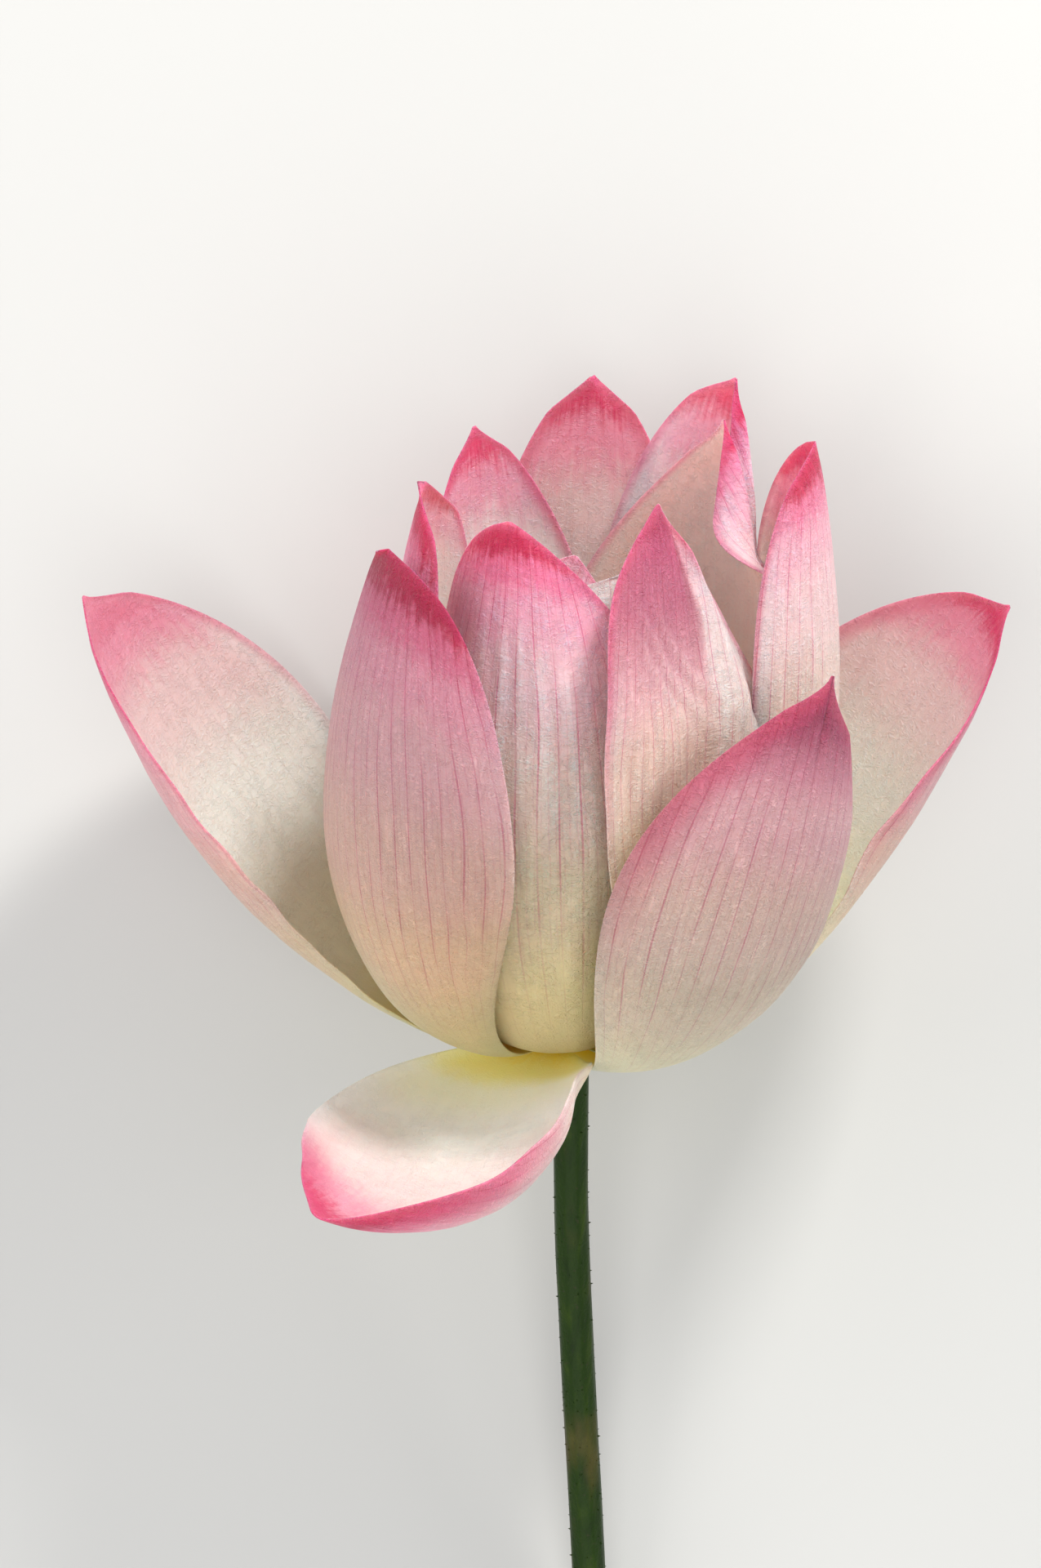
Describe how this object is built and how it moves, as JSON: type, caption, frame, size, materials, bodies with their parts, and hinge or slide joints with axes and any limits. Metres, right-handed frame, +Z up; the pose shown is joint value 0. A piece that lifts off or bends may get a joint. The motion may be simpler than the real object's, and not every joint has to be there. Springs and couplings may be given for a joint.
{
  "type": "lotus flower",
  "caption": "Cut lotus flower lying on its side: a goblet of cupped pink petals, two spread wide and one drooping, round a seed cone ringed with stamens, on a short green stem.",
  "frame": {"origin": "on the surface that the flower lies on, under the middle of its box", "axes": "+Y along the flower, from the cut end of the stem to the petal tips; +Z up, away from the surface that it lies on; +X across, towards the flower's own right side as seen from above with the tips pointing away"},
  "size_m": [0.1789, 0.2741, 0.1318],
  "materials": {
    "petal": "satin",
    "receptacle": "satin",
    "stamens": "matte",
    "stem": "satin"
  },
  "bodies": {
    "root": {"petal_heart_left": "petal", "petal_heart_front": "petal", "petal_inner_right": "petal", "petal_inner_left": "petal", "petal_inner_front": "petal", "petal_left": "petal", "petal_back_left": "petal", "petal_back_right": "petal", "petal_front_right": "petal", "petal_right": "petal", "petal_back": "petal", "petal_front_left": "petal", "petal_outer_right": "petal", "petal_spread_right": "petal", "petal_hidden_right": "petal", "petal_hidden_left": "petal", "petal_spread_left": "petal", "petal_drooping": "petal", "receptacle": "receptacle", "stamens": "stamens", "stem": "stem"}
  },
  "joints": []
}
